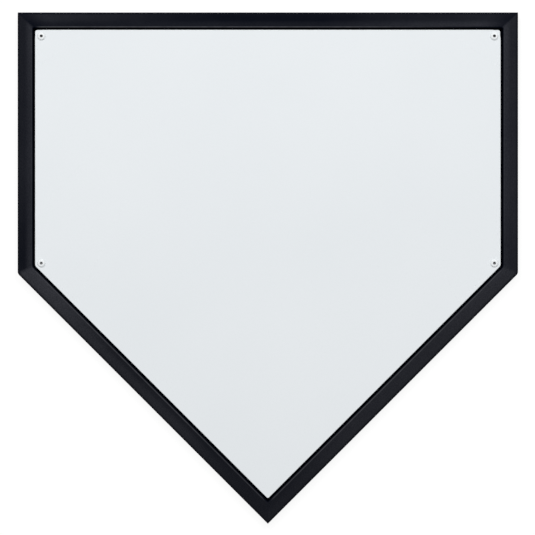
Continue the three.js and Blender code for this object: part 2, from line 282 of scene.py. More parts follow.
def side_points(start, end):
    """Points between two corners, close together near them and wide apart in the middle."""
    along = (end - start).normalized()
    near = [k * NEAR_STEP for k in range(1, NEAR_COUNT + 1)]
    first = [start + along * distance for distance in near]
    last = [end - along * distance for distance in reversed(near)]
    middle = [first[-1].lerp(last[0], (k + 1) / (MIDDLE_COUNT + 1)) for k in range(MIDDLE_COUNT)]
    return first + middle + last


def same_corners(radius):
    return {kind: radius for kind in CORNER_KINDS}


def outline(offset, radii):
    """The slab's outline moved out by offset, with round corners. All have the same number of points."""
    arcs = []
    for i, corner in enumerate(CORNERS):
        radius = radii[CORNER_KINDS[i]]
        centre = corner + MITRES[i] * (offset - radius)
        start = math.degrees(math.atan2(NORMALS[i - 1].y, NORMALS[i - 1].x))
        turn = math.degrees(NORMALS[i].angle_signed(NORMALS[i - 1]))
        arcs.append([Vector(p) for p in arc(centre, radius, start, start + turn, CORNER_STEPS)])
    points = []
    for i, corner_arc in enumerate(arcs):
        following = arcs[(i + 1) % len(arcs)]
        points += corner_arc + side_points(corner_arc[-1], following[0])
    return points


def add_ring(bm, points, height):
    return [bm.verts.new((p.x, p.y, height)) for p in points]


def bridge(bm, one, other):
    """Quads between two closed rings with the same number of points."""
    for i in range(len(one)):
        after = (i + 1) % len(one)
        bm.faces.new((one[i], one[after], other[after], other[i]))


def loft(bm, rings):
    for one, other in zip(rings, rings[1:]):
        bridge(bm, one, other)


def fill(bm, outer, holes, loose=()):
    """Triangles between a convex outer ring and convex holes, through the loose points inside."""
    verts = list(outer)
    edges = [(i, (i + 1) % len(outer)) for i in range(len(outer))]
    owners = [None] * len(outer)
    for index, hole in enumerate(holes):
        first = len(verts)
        edges += [(first + i, first + (i + 1) % len(hole)) for i in range(len(hole))]
        owners += [index] * len(hole)
        verts += hole
    owners += [None] * len(loose)
    verts += loose
    flat = [v.co.xy for v in verts]
    _, _, faces, *_ = delaunay_2d_cdt(flat, edges, [], FILL_INSIDE_ONLY, MERGE_DISTANCE)
    for face in faces:
        held_by = {owners[i] for i in face}
        inside_hole = len(held_by) == 1 and held_by != {None}
        if not inside_hole:
            bm.faces.new([verts[i] for i in face])


def cone_cap(bm, ring, height):
    """Closes a ring with a fan of triangles to a point in its middle. Returns that point."""
    middle = sum((v.co.xy for v in ring), Vector((0, 0))) / len(ring)
    point = bm.verts.new((middle.x, middle.y, height))
    for i in range(len(ring)):
        bm.faces.new((ring[i], ring[(i + 1) % len(ring)], point))
    return point


def make_piece(name, bm, material, nodes):
    """Turns a mesh into a named piece that stands in for CAD nodes."""
    bmesh.ops.recalc_face_normals(bm, faces=bm.faces)
    for face in bm.faces:
        face.smooth = True
    for edge in bm.edges:
        edge.smooth = edge.calc_face_angle(math.pi) < SHARP_ANGLE
    mesh = bpy.data.meshes.new(name)
    bm.to_mesh(mesh)
    bm.free()
    mesh.materials.append(material)
    piece = bpy.data.objects.new(name, mesh)
    bpy.context.scene.collection.objects.link(piece)
    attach(piece, BODY)
    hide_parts(*nodes)


class Finish:
    """A Principled material, with short ways to add nodes to it. Textures are placed in metres."""

    def __init__(self, name):
        self.material = bpy.data.materials.new(name)
        self.material.use_nodes = True
        self.tree = self.material.node_tree
        self.shader = self.tree.nodes["Principled BSDF"]
        self.place = self.add("ShaderNodeTexCoord").outputs["Object"]
        self.normal = None

    def add(self, kind):
        return self.tree.nodes.new(kind)

    def plug(self, source, socket):
        """Links an output to a socket, or sets the socket to a plain value."""
        if isinstance(source, bpy.types.NodeSocket):
            self.tree.links.new(source, socket)
        else:
            socket.default_value = source

    def set(self, name, source):
        self.plug(source, self.shader.inputs[name])

    def stretched(self, scale):
        node = self.add("ShaderNodeMapping")
        self.plug(self.place, node.inputs["Vector"])
        node.inputs["Scale"].default_value = scale
        return node.outputs["Vector"]

    def noise(self, scale, detail, place=None):
        node = self.add("ShaderNodeTexNoise")
        self.plug(place or self.place, node.inputs["Vector"])
        node.inputs["Scale"].default_value = scale
        node.inputs["Detail"].default_value = detail
        return node.outputs["Fac"]

    def cells(self, scale):
        node = self.add("ShaderNodeTexVoronoi")
        node.feature = "SMOOTH_F1"
        self.plug(self.place, node.inputs["Vector"])
        node.inputs["Scale"].default_value = scale
        return node.outputs["Distance"]

    def painted(self, name):
        """A value that the mesh carries on its points."""
        node = self.add("ShaderNodeAttribute")
        node.attribute_name = name
        return node.outputs["Fac"]

    def span(self, source, from_low, from_high, low, high):
        """Maps one range to another, and holds what lies outside it to the ends."""
        node = self.add("ShaderNodeMapRange")
        values = (source, from_low, from_high, low, high)
        for socket, value in zip(node.inputs, values):
            self.plug(value, socket)
        return node.outputs["Result"]

    def clamped(self, source):
        return self.span(source, 0.0, 1.0, 0.0, 1.0)

    def combine(self, operation, one, other):
        node = self.add("ShaderNodeMath")
        node.operation = operation
        self.plug(one, node.inputs[0])
        self.plug(other, node.inputs[1])
        return node.outputs["Value"]

    def blend(self, share, one, other):
        node = self.add("ShaderNodeMix")
        node.data_type = "RGBA"
        colours = [socket for socket in node.inputs if socket.type == "RGBA"]
        self.plug(share, node.inputs[0])
        self.plug(one, colours[0])
        self.plug(other, colours[1])
        return next(socket for socket in node.outputs if socket.type == "RGBA")

    def bump(self, height, distance):
        """Adds relief of that depth in metres on top of what is there."""
        node = self.add("ShaderNodeBump")
        node.inputs["Distance"].default_value = distance
        self.plug(height, node.inputs["Height"])
        if self.normal:
            self.plug(self.normal, node.inputs["Normal"])
        self.normal = node.outputs["Normal"]
        self.set("Normal", self.normal)


# Numbers of the finishes. Colours are linear. A texture has its features to the metre, and a noise its
# finer layers too. A span takes part of a texture's range to a new one. Most of a noise lies in
# NOISE_RANGE.
NOISE_RANGE = (0.3, 0.7)

# White rubber
WHITE_CLOUDS = (6.0, 4.0)
WHITE_DIM = (0.785, 0.82, 0.845, 1)
WHITE_BRIGHT = (0.805, 0.838, 0.862, 1)
WHITE_SPECKS = (900.0, 3.0)
WHITE_SPECK_SPAN = (0.58, 0.75, 0.0, 0.25)
WHITE_SPECK_COLOUR = (0.7, 0.74, 0.76, 1)
WHITE_SOIL = (90.0, 2.0)
WHITE_SOIL_SPAN = (0.35, 0.7, 0.0, 0.35)
WHITE_SOIL_COLOUR = (0.6, 0.62, 0.62, 1)
WHITE_GROOVE_SHADE_COLOUR = (0.016, 0.017, 0.02, 1)
WHITE_GLOSS = (40.0, 4.0)
WHITE_ROUGHNESS = (0.52, 0.66)
WHITE_SPECULAR = 0.3
WHITE_WAVES = (24.0, 2.0)
WHITE_WAVE_DEPTH = 0.1 * MM
WHITE_PEBBLES = 700.0
WHITE_PEBBLE_DEPTH = 0.03 * MM
WHITE_TOOTH = (2600.0, 2.0)
WHITE_TOOTH_DEPTH = 0.015 * MM


def white_rubber():
    """Matte moulded rubber: faint clouds, a fine grain, a slightly soiled rim, and painted shade on the
    rim's wall down in the groove.
    """
    finish = Finish("white_rubber")
    clouds = finish.span(finish.noise(*WHITE_CLOUDS), *NOISE_RANGE, 0.0, 1.0)
    clean = finish.blend(clouds, WHITE_DIM, WHITE_BRIGHT)
    specks = finish.span(finish.noise(*WHITE_SPECKS), *WHITE_SPECK_SPAN)
    speckled = finish.blend(specks, clean, WHITE_SPECK_COLOUR)
    patches = finish.span(finish.noise(*WHITE_SOIL), *WHITE_SOIL_SPAN)
    soil = finish.combine("MULTIPLY", finish.painted("wear_and_highlight"), patches)
    soiled = finish.blend(soil, speckled, WHITE_SOIL_COLOUR)
    # Painted shade: the rim's wall in the groove is coloured near-black
    finish.set("Base Color", finish.blend(finish.painted("groove_shade"), soiled, WHITE_GROOVE_SHADE_COLOUR))
    gloss = finish.noise(*WHITE_GLOSS)
    finish.set("Roughness", finish.span(gloss, *NOISE_RANGE, *WHITE_ROUGHNESS))
    finish.set("Specular IOR Level", WHITE_SPECULAR)
    finish.bump(finish.noise(*WHITE_WAVES), WHITE_WAVE_DEPTH)
    finish.bump(finish.cells(WHITE_PEBBLES), WHITE_PEBBLE_DEPTH)
    finish.bump(finish.noise(*WHITE_TOOTH), WHITE_TOOTH_DEPTH)
    return finish.material


# Black rubber
BLACK_CLOUDS = (14.0, 5.0)
BLACK_CLOUD_DUST = (-0.035, 0.035)
BLACK_CLEAN = (0.0006, 0.0015, 0.0052, 1)
BLACK_DUSTY_AND_LIT = (0.0555, 0.0575, 0.069, 1)
BLACK_PEBBLES = 1100.0
BLACK_PEBBLE_DUST_SPAN = (0.15, 0.6, 0.7, 1.26)
BLACK_PEBBLE_HEIGHT_SPAN = (0.0, 0.6, 1.0, 0.0)
BLACK_PEBBLE_DEPTH = 0.06 * MM
BLACK_RUB_AND_HIGHLIGHT_PATCHES = (160.0, 4.0)
BLACK_RUB_AND_HIGHLIGHT_SHARE = (0.6, 1.0)
BLACK_RUB_AND_HIGHLIGHT = (0.075, 0.077, 0.086, 1)
BLACK_SPECKS = (1300.0, 3.0)
BLACK_SPECK_SPAN = (0.62, 0.8, 0.0, 0.3)
BLACK_SPECK_COLOUR = (0.02, 0.021, 0.024, 1)
BLACK_GLOSS = (60.0, 4.0)
BLACK_ROUGHNESS = (0.46, 0.58)
BLACK_SPECULAR = 0.018
BLACK_WAVES = (30.0, 2.0)
BLACK_WAVE_DEPTH = 0.15 * MM
BLACK_TOOTH = (2200.0, 2.0)
BLACK_TOOTH_DEPTH = 0.02 * MM


def black_rubber():
    """Moulded blue-black rubber: pebbled, with dust and painted light between the pebbles in places,
    paler along the lip by a painted highlight drawn as rubbing, and paler where the skirt's edges are
    rubbed."""
    finish = Finish("black_rubber")
    clouds = finish.span(finish.noise(*BLACK_CLOUDS), *NOISE_RANGE, *BLACK_CLOUD_DUST)
    # Dust, and painted light that makes some sides and parts of sides paler than others
    dust_and_shade_film = finish.clamped(finish.combine("ADD", finish.painted("dust_and_shade"), clouds))
    pebbles = finish.cells(BLACK_PEBBLES)
    settled = finish.span(pebbles, *BLACK_PEBBLE_DUST_SPAN)
    dust_and_shade = finish.combine("MULTIPLY", dust_and_shade_film, settled)
    body = finish.blend(dust_and_shade, BLACK_CLEAN, BLACK_DUSTY_AND_LIT)
    patches = finish.span(finish.noise(*BLACK_RUB_AND_HIGHLIGHT_PATCHES), *NOISE_RANGE, *BLACK_RUB_AND_HIGHLIGHT_SHARE)
    # Paler on the lip by a painted highlight, drawn as rubbing, and on the skirt's edges by wear
    rub_and_highlight = finish.combine("MULTIPLY", finish.painted("wear_and_highlight"), patches)
    edged = finish.blend(rub_and_highlight, body, BLACK_RUB_AND_HIGHLIGHT)
    specks = finish.span(finish.noise(*BLACK_SPECKS), *BLACK_SPECK_SPAN)
    finish.set("Base Color", finish.blend(specks, edged, BLACK_SPECK_COLOUR))
    gloss = finish.noise(*BLACK_GLOSS)
    finish.set("Roughness", finish.span(gloss, *NOISE_RANGE, *BLACK_ROUGHNESS))
    finish.set("Specular IOR Level", BLACK_SPECULAR)
    finish.bump(finish.noise(*BLACK_WAVES), BLACK_WAVE_DEPTH)
    finish.bump(finish.span(pebbles, *BLACK_PEBBLE_HEIGHT_SPAN), BLACK_PEBBLE_DEPTH)
    finish.bump(finish.noise(*BLACK_TOOTH), BLACK_TOOTH_DEPTH)
    return finish.material


# White coat on the face screws
COAT_CLOUDS = (500.0, 3.0)
COAT_DIM = (0.83, 0.86, 0.875, 1)
COAT_BRIGHT = (0.86, 0.885, 0.9, 1)
# Near-black for bare metal and for painted shade inside the socket
BARE_AND_SHADE_CLOUDS = (1500.0, 3.0)
BARE_AND_SHADE_DIM = (0.004, 0.004, 0.004, 1)
BARE_AND_SHADE_BRIGHT = (0.014, 0.014, 0.014, 1)
COAT_GLOSS = (800.0, 2.0)
COAT_ROUGHNESS = (0.32, 0.45)
COAT_PEEL = 1800.0
COAT_PEEL_DEPTH = 0.02 * MM


def white_coat():
    """White powder coat on steel, with socket and thread painted near-black: bare metal, and the shade
    deep in the socket.
    """
    finish = Finish("white_coat")
    coat = finish.blend(finish.noise(*COAT_CLOUDS), COAT_DIM, COAT_BRIGHT)
    bare_steel_and_shade = finish.blend(finish.noise(*BARE_AND_SHADE_CLOUDS), BARE_AND_SHADE_DIM, BARE_AND_SHADE_BRIGHT)
    finish.set("Base Color", finish.blend(finish.painted("bare_and_shade"), coat, bare_steel_and_shade))
    gloss = finish.noise(*COAT_GLOSS)
    finish.set("Roughness", finish.span(gloss, *NOISE_RANGE, *COAT_ROUGHNESS))
    finish.bump(finish.cells(COAT_PEEL), COAT_PEEL_DEPTH)
    return finish.material


# Zinc plate on the tee nuts and wood screws
ZINC_CLOUDS = (260.0, 4.0)
ZINC_DIM = (0.5, 0.52, 0.55, 1)
ZINC_BRIGHT = (0.68, 0.68, 0.66, 1)
ZINC_GLOSS = (900.0, 4.0)
ZINC_ROUGHNESS = (0.25, 0.45)
ZINC_TOOTH = (2400.0, 3.0)
ZINC_TOOTH_DEPTH = 0.02 * MM


def zinc_steel():
    """Bright zinc plate: slightly clouded, and uneven in its gloss."""
    finish = Finish("zinc_steel")
    finish.set("Base Color", finish.blend(finish.noise(*ZINC_CLOUDS), ZINC_DIM, ZINC_BRIGHT))
    finish.set("Metallic", 1.0)
    gloss = finish.noise(*ZINC_GLOSS)
    finish.set("Roughness", finish.span(gloss, *NOISE_RANGE, *ZINC_ROUGHNESS))
    finish.bump(finish.noise(*ZINC_TOOTH), ZINC_TOOTH_DEPTH)
    return finish.material


# Plywood. Its grain and its plies stretch a noise by so much along each axis.
WOOD_GRAIN_STRETCH = (220.0, 9.0, 220.0)
WOOD_GRAIN = (1.0, 5.0)
WOOD_GRAIN_DEPTH = 0.08 * MM
WOOD_DARK = (0.42, 0.25, 0.11, 1)
WOOD_PALE = (0.62, 0.42, 0.22, 1)
WOOD_PLY_STRETCH = (0.5, 0.5, 420.0)
WOOD_PLIES = (1.0, 0.0)
WOOD_PLY_SPAN = (0.42, 0.58, 0.0, 0.5)
WOOD_PLY_COLOUR = (0.3, 0.16, 0.07, 1)
WOOD_ROUGHNESS = (0.65, 0.85)


def plywood():
    """Birch plywood: long grain on the faces, pale and dark plies on the edges."""
    finish = Finish("plywood")
    grain = finish.noise(*WOOD_GRAIN, finish.stretched(WOOD_GRAIN_STRETCH))
    wood = finish.blend(finish.span(grain, *NOISE_RANGE, 0.0, 1.0), WOOD_DARK, WOOD_PALE)
    plies = finish.noise(*WOOD_PLIES, finish.stretched(WOOD_PLY_STRETCH))
    darker = finish.span(plies, *WOOD_PLY_SPAN)
    finish.set("Base Color", finish.blend(darker, wood, WOOD_PLY_COLOUR))
    finish.set("Roughness", finish.span(grain, *NOISE_RANGE, *WOOD_ROUGHNESS))
    finish.bump(grain, WOOD_GRAIN_DEPTH)
    return finish.material


def pulled_by_screws(place):
    """Where a point of the slab goes when the corner screws are done up."""
    lift = smooth_step(LEDGE_TOP, FACE_TOP, place.z)
    head = SCREW_HEAD_DIAMETER / 2
    moved = place.copy()
    for name, centre in FACE_SCREWS.items():
        nearest = min(range(len(CORNERS)), key=lambda i: (CORNERS[i] - centre).length)
        from_corner = (place.xy - CORNERS[nearest]).length
        from_screw = (place.xy - centre).length
        drawn = 1 - smooth_step(DRAW_FULL, DRAW_END, from_corner)
        drawn *= smooth_step(head, DRAW_CLEAR_OF_HEAD, from_screw)
        moved.xy += DRAW_IN[name] * drawn * lift
        moved.z -= DISH_DEPTH * lift * (1 - smooth_step(head, DISH_END, from_screw))
    return moved


def white_slab(material):
    """The slab: round rim, rebate under it, and a seat and a hole for each screw."""
    bm = bmesh.new()
    wear_and_highlight = bm.verts.layers.float.new("wear_and_highlight")
    groove_shade = bm.verts.layers.float.new("groove_shade")
    rim_bottom = LEDGE_TOP + BOND_LINE
    rounding = arc((-SLAB_EDGE_ROUND, FACE_TOP - SLAB_EDGE_ROUND), SLAB_EDGE_ROUND, 90, 0)
    under = arc((-SLAB_EDGE_ROUND, rim_bottom + SLAB_EDGE_ROUND), SLAB_EDGE_ROUND, 0, -90)
    clean_line = (-SLAB_EDGE_ROUND - RIM_FADE, FACE_TOP)
    rings = []
    for out, height in [clean_line] + rounding + [(0.0, FACE_TOP - GROOVE_SHADE_FULL)] + under:
        radii = {kind: radius + out for kind, radius in SLAB_CORNERS.items()}
        ring = add_ring(bm, outline(out, radii), height)
        for vert in ring:
            vert[wear_and_highlight] = 0.0 if out == clean_line[0] else 1.0
            # Painted shade on the rim's wall, below its rounding
            vert[groove_shade] = smooth_step(FACE_TOP - GROOVE_SHADE_TOP, FACE_TOP - GROOVE_SHADE_FULL, height)
        rings.append(ring)
    loft(bm, rings)
    rebate_line = outline(-LEDGE_REACH - FIT_GAP, same_corners(REBATE_CORNER_RADIUS))
    rebate = [add_ring(bm, rebate_line, height) for height in (rim_bottom, slab_low.z)]
    loft(bm, rebate)
    mouths, bottoms, dish = [], [], []
    seat_radius = SCREW_HEAD_DIAMETER / 2 + SCREW_SQUEEZE_GAP
    shank_radius = SCREW_THREAD_DIAMETER / 2 + FIT_GAP
    for centre in FACE_SCREWS.values():
        steps = [(seat_radius, FACE_TOP), (seat_radius, SEAT_LEVEL), (shank_radius, SEAT_LEVEL)]
        steps.append((shank_radius, rim_bottom))
        hole = [add_ring(bm, circle(centre, radius), height) for radius, height in steps]
        loft(bm, hole)
        mouths.append(hole[0])
        bottoms.append(hole[-1])
        for k in range(DISH_RINGS):
            radius = lerp(seat_radius, DISH_END, (k + 1) / DISH_RINGS)
            dish += [p for p in circle(centre, radius, DISH_POINTS) if clear_of_rim(p)]
    fill(bm, rings[0], mouths, add_ring(bm, dish, FACE_TOP))
    fill(bm, rings[-1], [rebate[0]] + bottoms)
    fill(bm, rebate[1], [])
    for vert in bm.verts:
        vert.co = pulled_by_screws(vert.co)
    make_piece("white_slab_rubber", bm, material, ["white_slab"])


def clear_of_rim(point):
    """True where a point of the face lies inside the rounded rim."""
    margin = SLAB_EDGE_ROUND + 2 * RIM_FADE
    return all((point - corner).dot(normal) < -margin for corner, normal in zip(CORNERS, NORMALS))


def frame_section():
    """The frame's outside from the ledge's root over the lip and down the bevel to the inner foot.

    Returns the section's points, and how much each carries the painted highlight on the lip's inner edge
    and on its outer edge, and how much it is rubbed on the skirt."""
    lip_inside = Vector((GROOVE_WIDTH + LIP_ROUND, LIP_TOP - LIP_ROUND))
    lip_outside = lip_inside + Vector((LIP_LAND, 0))
    skirt_top = Vector((BORDER, SKIRT_HEIGHT))
    to_skirt = skirt_top - lip_outside
    slope = math.atan2(to_skirt.y, to_skirt.x) + math.acos(LIP_ROUND / to_skirt.length)
    normal = Vector((math.cos(slope), math.sin(slope)))
    bevel_angle = math.degrees(slope)
    edge_reach = Vector((1 + normal.x, normal.y)) / (1 + normal.x)
    edge_centre = skirt_top - edge_reach * SKIRT_EDGE_ROUND
    start = lip_outside + normal * LIP_ROUND
    end = edge_centre + normal * SKIRT_EDGE_ROUND
    bevel = []
    for share in [HIGHLIGHT_FADE / (end - start).length] + [k / BEVEL_STEPS for k in range(1, BEVEL_STEPS)]:
        bevel.append(tuple(start.lerp(end, share) + normal * (4 * BEVEL_CROWN * share * (1 - share))))
    foot_centre = (BORDER - SKIRT_FOOT_ROUND, SKIRT_FOOT_ROUND)
    fillet_centre = (GROOVE_WIDTH - GROOVE_FILLET, LEDGE_TOP + GROOVE_FILLET)
    groove = arc(fillet_centre, GROOVE_FILLET, -90, 0)
    inner_edge = arc(lip_inside, LIP_ROUND, 180, 90)
    outer_edge = arc(lip_outside, LIP_ROUND, 90, bevel_angle)
    edge = arc(edge_centre, SKIRT_EDGE_ROUND, bevel_angle, 0)
    foot = arc(foot_centre, SKIRT_FOOT_ROUND, 0, -90)
    section = groove + inner_edge + outer_edge + bevel + edge + foot
    wear_and_highlight = {name: [0.0] * len(section) for name in ("inner", "outer", "skirt")}
    land_start = len(groove) + len(inner_edge) - 1
    bevel_start = land_start + 1 + len(outer_edge)
    skirt_start = bevel_start + len(bevel)
    wear_and_highlight["inner"][land_start - 1] = LAND_START_HIGHLIGHT
    wear_and_highlight["inner"][land_start] = 1.0
    wear_and_highlight["inner"][land_start + 1] = LAND_END_HIGHLIGHT
    wear_and_highlight["outer"][land_start + 1:bevel_start] = [1.0] * len(outer_edge)
    wear_and_highlight["skirt"][skirt_start:] = [SKIRT_EDGE_WEAR] * len(edge) + [SKIRT_FOOT_WEAR] * len(foot)
    return section, wear_and_highlight


def along_side(levels, share):
    """A level at a share of a side's length, from the levels at its start, its middle and its end."""
    start, middle, end = levels
    if share < 0.5:
        return lerp(start, middle, smooth_step(LEVEL_HELD, LEVEL_CHANGED, share))
    return lerp(end, middle, smooth_step(LEVEL_HELD, LEVEL_CHANGED, 1 - share))


def dust_and_shade_at(side, share, from_mitre, out, height):
    """How much dust and painted light the frame has at a share of a side's length and a distance out from
    the slab's edge.
    """
    if out < GROOVE_WIDTH + LIP_ROUND:
        return 0.0
    if height < SKIRT_HEIGHT - SKIRT_EDGE_ROUND:
        return SKIRT_DUST
    # Dust and painted light: each side's own levels, from beside the lip to further out
    beside_lip = along_side(DUST_AND_SHADE_BESIDE_LIP[side], share)
    further_out = along_side(DUST_AND_SHADE_FURTHER_OUT[side], share)
    dust_and_shade_film = lerp(beside_lip, further_out, smooth_step(DUST_AND_SHADE_FADE_START, DUST_AND_SHADE_FADE_END, out))
    # Painted shade: the front is painted darker towards its mitres
    if side in MITRE_SHADE_REACH:
        dust_and_shade_film *= lerp(MITRE_SHADE_LEVEL, 1.0, smooth_step(0.0, MITRE_SHADE_REACH[side], from_mitre))
    # Painted shade: the dust and painted light fade out towards the outer edge, leaving it darkest
    return dust_and_shade_film * (1 - smooth_step(EDGE_SHADE_START, EDGE_SHADE_END, out))


def highlight_away_from_corners(place):
    """0 at a corner of the lip, where the painted lip highlight stops, and 1 well along a side."""
    lip_corners = [corner + mitre * GROOVE_WIDTH for corner, mitre in zip(CORNERS, MITRES)]
    nearest = min((place.xy - corner).length for corner in lip_corners)
    return smooth_step(HIGHLIGHT_CORNER_START, HIGHLIGHT_CORNER_END, nearest)


def place_on_side(side, place, out):
    """How far along a side of the slab a point lies, from 0 to 1, and how far from the nearer mitre."""
    following = (side + 1) % len(CORNERS)
    to_end = CORNERS[following] - CORNERS[side]
    along = to_end.normalized()
    from_start = (place.xy - CORNERS[side] - MITRES[side] * out).dot(along)
    from_end = (CORNERS[following] + MITRES[following] * out - place.xy).dot(along)
    share = (place.xy - CORNERS[side]).dot(along) / to_end.length
    return min(1.0, max(0.0, share)), max(0.0, min(from_start, from_end))


def bevel_frame(material):
    """The frame: a lip, a crowned bevel and a skirt round the slab, and a drilled ledge under it."""
    bm = bmesh.new()
    wear_and_highlight_layer = bm.verts.layers.float.new("wear_and_highlight")
    dust_and_shade_layer = bm.verts.layers.float.new("dust_and_shade")
    sides = list(LIP_HIGHLIGHT_AND_RUB)
    section, wear_and_highlight = frame_section()
    rings = []
    for k, (out, height) in enumerate(section):
        outness = (out - GROOVE_WIDTH) / (BORDER - GROOVE_WIDTH)
        radii = {
            kind: lerp(GROOVE_CORNERS[kind], OUTER_CORNERS[kind], outness) for kind in CORNER_KINDS
        }
        ring = add_ring(bm, outline(out, radii), height)
        for i, vert in enumerate(ring):
            side, step = divmod(i, POINTS_PER_SIDE)
            before, after = sides[side - 1], sides[side]
            turned = min(1.0, step / CORNER_STEPS)
            share, from_mitre = place_on_side(side, vert.co, out)
            # Painted highlight along the lip, fading out towards its corners
            last_highlight_and_rub = LIP_HIGHLIGHT_AND_RUB[before][-1] * wear_and_highlight[HIGHLIGHTED_EDGE[before]][k]
            next_highlight_and_rub = along_side(LIP_HIGHLIGHT_AND_RUB[after], share) * wear_and_highlight[HIGHLIGHTED_EDGE[after]][k]
            rub_and_highlight = lerp(last_highlight_and_rub, next_highlight_and_rub, turned) * highlight_away_from_corners(vert.co)
            vert[wear_and_highlight_layer] = rub_and_highlight + wear_and_highlight["skirt"][k]
            last_dust_and_shade = dust_and_shade_at(before, 1.0, 0.0, out, height)
            next_dust_and_shade = dust_and_shade_at(after, share, from_mitre, out, height)
            vert[dust_and_shade_layer] = lerp(last_dust_and_shade, next_dust_and_shade, turned)
        rings.append(ring)
    inner_corners = same_corners(INNER_CORNER_RADIUS)
    for height in (0.0, slab_low.z):
        rings.append(add_ring(bm, outline(CORE_OVERHANG + FIT_GAP, inner_corners), height))
    loft(bm, rings)
    ledge = [add_ring(bm, outline(-LEDGE_REACH, inner_corners), z) for z in (slab_low.z, LEDGE_TOP)]
    loft(bm, ledge)
    shank_radius = SCREW_THREAD_DIAMETER / 2 + FIT_GAP
    lower, upper = [], []
    for centre in FACE_SCREWS.values():
        hole = [add_ring(bm, circle(centre, shank_radius), z) for z in (slab_low.z, LEDGE_TOP)]
        loft(bm, hole)
        lower.append(hole[0])
        upper.append(hole[1])
    fill(bm, rings[-1], [ledge[0]] + lower)
    fill(bm, rings[0], [ledge[1]] + upper)
    make_piece("bevel_frame_rubber", bm, material, ["bevel_frame"])


def rounded_square(centre, half, radius):
    points = []
    for quarter in range(4):
        turn = math.radians(45 + 90 * quarter)
        reach = (half - radius) * math.sqrt(2)
        middle = centre + Vector((math.cos(turn), math.sin(turn))) * reach
        corner_arc = arc(middle, radius, 90 * quarter, 90 * quarter + 90, POCKET_STEPS)
        points += [Vector(p) for p in corner_arc]
    return points


def pocket_centres():
    """Pockets on a square grid, wherever a whole one fits inside the band that holds the screws."""
    pitch = POCKET_SIZE + POCKET_RIB
    margin = BASE_SCREW_INSET + WOOD_SCREW_HEAD_DIAMETER / 2 + POCKET_LAND - CORE_OVERHANG
    half = POCKET_SIZE / 2
    columns = int(HALF_WIDTH / pitch)
    rows = int((FACE_FRONT - FACE_TIP) / pitch)
    centres = []
    for row in range(rows):
        for column in range(-columns, columns + 1):
            centre = Vector((column * pitch, FACE_FRONT - margin - half - row * pitch))
            rear = [centre + Vector((side * half, -half)) for side in (-1, 1)]
            pairs = [(point, k) for point in rear for k in range(len(CORNERS))]
            if all((point - CORNERS[k]).dot(NORMALS[k]) <= -margin for point, k in pairs):
                centres.append(centre)
    return centres


def pocket(bm, centre):
    """One pocket with a round mouth and a filleted floor. Returns its mouth."""
    half = POCKET_SIZE / 2
    depth = base_high.z - POCKET_WEB
    mouth_centre = (half + POCKET_MOUTH_ROUND, POCKET_MOUTH_ROUND)
    mouth = arc(mouth_centre, POCKET_MOUTH_ROUND, -90, -180, POCKET_STEPS)
    floor_centre = (half - POCKET_DRAFT - POCKET_FLOOR_FILLET, depth - POCKET_FLOOR_FILLET)
    floor = arc(floor_centre, POCKET_FLOOR_FILLET, 0, 90, POCKET_STEPS)
    rings = []
    for reach, height in mouth + floor:
        radius = POCKET_CORNER_RADIUS + reach - half
        rings.append(add_ring(bm, rounded_square(centre, reach, radius), height))
    loft(bm, rings)
    bm.faces.new(rings[-1])
    return rings[0]


def waffle_base(material):
    """The base: a sheet with rounded pockets below and a countersunk hole for each wood screw."""
    bm = bmesh.new()
    bm.verts.layers.float.new("wear_and_highlight")
    dust_and_shade = bm.verts.layers.float.new("dust_and_shade")
    low_edge = arc((CORE_OVERHANG - BASE_EDGE_ROUND, BASE_EDGE_ROUND), BASE_EDGE_ROUND, -90, 0)
    section = low_edge + [(CORE_OVERHANG, base_high.z)]
    corners = same_corners(BASE_CORNER_RADIUS)
    rings = [add_ring(bm, outline(out, corners), height) for out, height in section]
    loft(bm, rings)
    mouths = [pocket(bm, centre) for centre in pocket_centres()]
    tops = []
    head = WOOD_SCREW_HEAD_DIAMETER / 2 + SCREW_SQUEEZE_GAP
    shank = WOOD_SCREW_DIAMETER / 2 + FIT_GAP
    for node in WOOD_SCREWS:
        head_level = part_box(node)[0].z
        neck = head_level + head - shank
        steps = [(head, 0.0), (head, head_level), (shank, neck), (shank, base_high.z)]
        hole = [add_ring(bm, circle(middle_of(node), radius), height) for radius, height in steps]
        loft(bm, hole)
        mouths.append(hole[0])
        tops.append(hole[-1])
    fill(bm, rings[0], mouths)
    fill(bm, rings[-1], tops)
    for vert in bm.verts:
        vert[dust_and_shade] = BASE_DUST
    make_piece("waffle_base_rubber", bm, material, ["waffle_base"])


def polar_ring(bm, centre, height, radius_at):
    """A ring whose radius follows a function of its angle."""
    angles = [2 * math.pi * k / TURNED_POINTS for k in range(TURNED_POINTS)]
    points = [centre + Vector((math.cos(a), math.sin(a))) * radius_at(a) for a in angles]
    return add_ring(bm, points, height)


def round_at(radius):
    return lambda angle: radius


def hexagon_at(across_flats):
    def radius_at(angle):
        from_flat = (angle % math.radians(60)) - math.radians(30)
        return across_flats / 2 / math.cos(from_flat)

    return radius_at


def cross_at(span, width):
    def radius_at(angle):
        from_arm = ((angle + math.radians(45)) % math.radians(90)) - math.radians(45)
        if abs(math.tan(from_arm)) <= width / span:
            return span / 2 / math.cos(from_arm)
        return width / 2 / abs(math.sin(from_arm))

    return radius_at


def thread_at(radius, depth, pitch, height):
    """One slice of a right-hand thread: the radius rises and falls once in a turn."""
    def radius_at(angle):
        phase = (height / pitch - angle / (2 * math.pi)) % 1.0
        return radius - depth * abs(2 * phase - 1)

    return radius_at


def thread_slices(start, end, pitch):
    count = round(abs(end - start) / pitch * STEPS_PER_PITCH)
    return [lerp(start, end, k / count) for k in range(count + 1)]


